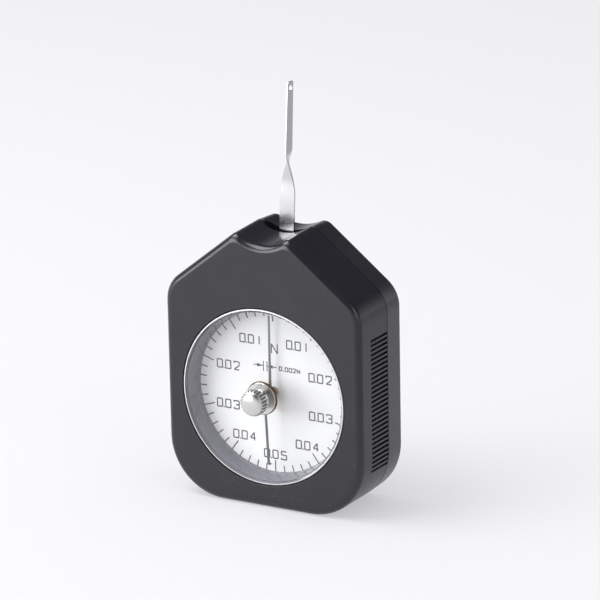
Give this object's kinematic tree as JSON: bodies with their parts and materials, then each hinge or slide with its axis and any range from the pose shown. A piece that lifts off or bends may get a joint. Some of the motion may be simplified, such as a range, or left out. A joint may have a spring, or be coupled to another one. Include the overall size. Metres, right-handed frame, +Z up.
{
  "type": "dial tension gauge",
  "caption": "Hand-held dial tension gauge: sprung feeler lever above a slim case, geared pointer over a round dial, and a centre knob with a trailing hand.",
  "frame": {"origin": "centre of the flat base face, midway between the case's front and back", "axes": "+Z up along the lever, +X to the right of someone who reads the dial, -Y towards that reader"},
  "size_m": [0.0606, 0.0301, 0.1147],
  "materials": {
    "black_plastic": "satin",
    "clear_acrylic": "clear polished",
    "silver_dial": "fine satin silver-white",
    "brass": "turned",
    "steel": "bright ground",
    "dark_steel": "dark satin",
    "blued_steel": "blued spring steel",
    "nickel": "nickel plated"
  },
  "bodies": {
    "case": {"front_case": "black_plastic", "rear_case": "black_plastic", "case_screw_1": "steel", "case_screw_2": "steel", "case_screw_3": "steel", "case_screw_4": "steel", "crystal": "clear_acrylic", "crystal_bush": "brass", "dial_plate": "silver_dial", "front_plate": "brass", "back_plate": "brass", "pillar_1": "steel", "pillar_2": "steel", "pillar_3": "steel", "pillar_4": "steel", "movement_screw_1": "steel", "movement_screw_2": "steel", "movement_screw_3": "steel", "movement_screw_4": "steel", "pillar_screw_1": "steel", "pillar_screw_2": "steel", "pillar_screw_3": "steel", "pillar_screw_4": "steel", "lever_front_bush": "brass", "lever_back_bush": "brass", "pointer_front_bush": "brass", "pointer_back_bush": "brass", "stop_pin_1": "steel", "stop_pin_2": "steel", "lever_spring_stud": "brass", "hairspring_stud": "brass"},
    "lever": {"lever_arbor": "steel", "lever_hub": "brass", "feeler": "steel", "clamp_screw_1": "steel", "clamp_screw_2": "steel", "sector_gear": "brass", "counterweight": "brass", "lever_spring_collet": "brass", "lever_spring": "blued_steel"},
    "pointer": {"pointer_arbor": "steel", "pinion": "steel", "pointer_hub": "brass", "pointer": "dark_steel", "hairspring_collet": "brass", "hairspring": "blued_steel"},
    "knob": {"reset_knob": "nickel", "knob_stem": "steel", "drag_hand_hub": "brass", "drag_hand": "dark_steel"}
  },
  "joints": [
    {"name": "lever_pivot", "type": "hinge", "parent": "case", "child": "lever", "pos_m": [0, 0, 0.05765], "axis": [0, 1, 0], "range_deg": [-12, 12], "stiffness_Nm_per_rad": 0.013, "deforming": ["lever_spring"]},
    {"name": "pointer_spin", "type": "hinge", "parent": "case", "child": "pointer", "pos_m": [0, 0, 0.0314], "axis": [0, 1, 0], "range_deg": [-180, 180], "deforming": ["hairspring"]},
    {"name": "knob_spin", "type": "hinge", "parent": "case", "child": "knob", "pos_m": [0, 0, 0.0314], "axis": [0, 1, 0], "continuous": true}
  ],
  "couplings": [
    {"joint": "pointer_spin", "follows": "lever_pivot", "ratio": -15}
  ]
}
